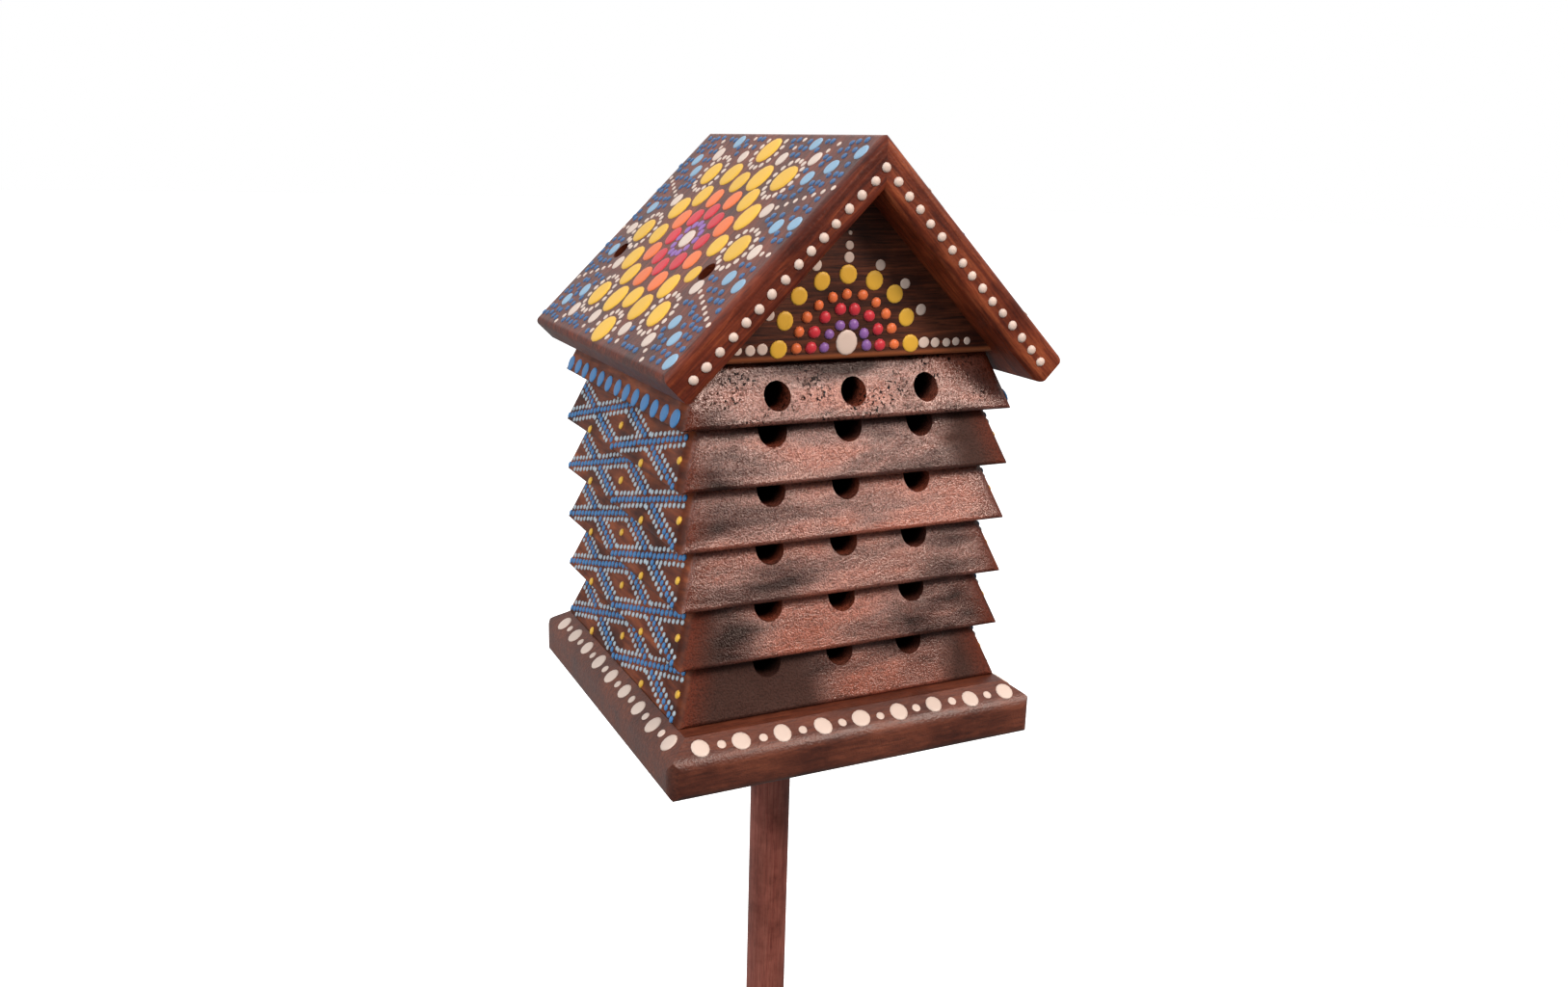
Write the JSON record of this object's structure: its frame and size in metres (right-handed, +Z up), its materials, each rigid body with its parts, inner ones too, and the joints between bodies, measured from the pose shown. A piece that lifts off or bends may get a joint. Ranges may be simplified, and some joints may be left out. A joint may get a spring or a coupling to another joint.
{
  "type": "bee hotel on a pole",
  "caption": "Small wooden bee hotel with a pitched roof over a stack of flared nesting trays with round bee holes, on a base board and a round pole.",
  "frame": {"origin": "centre of the pole's flat foot, at ground level", "axes": "+Z up along the pole, -Y towards the front with the bee holes, +X to the right seen from the front"},
  "size_m": [0.145, 0.145, 0.5115],
  "materials": {
    "pole_wood": "stained hardwood dowel, satin",
    "base_wood": "stained hardwood board, satin",
    "tray_wood": "scorched and varnished hardwood, satin",
    "gable_wood": "stained hardwood board, satin",
    "roof_wood": "stained hardwood board, satin"
  },
  "bodies": {
    "root": {"pole": "pole_wood", "base_board": "base_wood", "tray_1": "tray_wood", "tray_2": "tray_wood", "tray_3": "tray_wood", "tray_4": "tray_wood", "tray_5": "tray_wood", "tray_6": "tray_wood", "gable_front": "gable_wood", "gable_back": "gable_wood", "roof_left": "roof_wood", "roof_right": "roof_wood"}
  },
  "joints": []
}
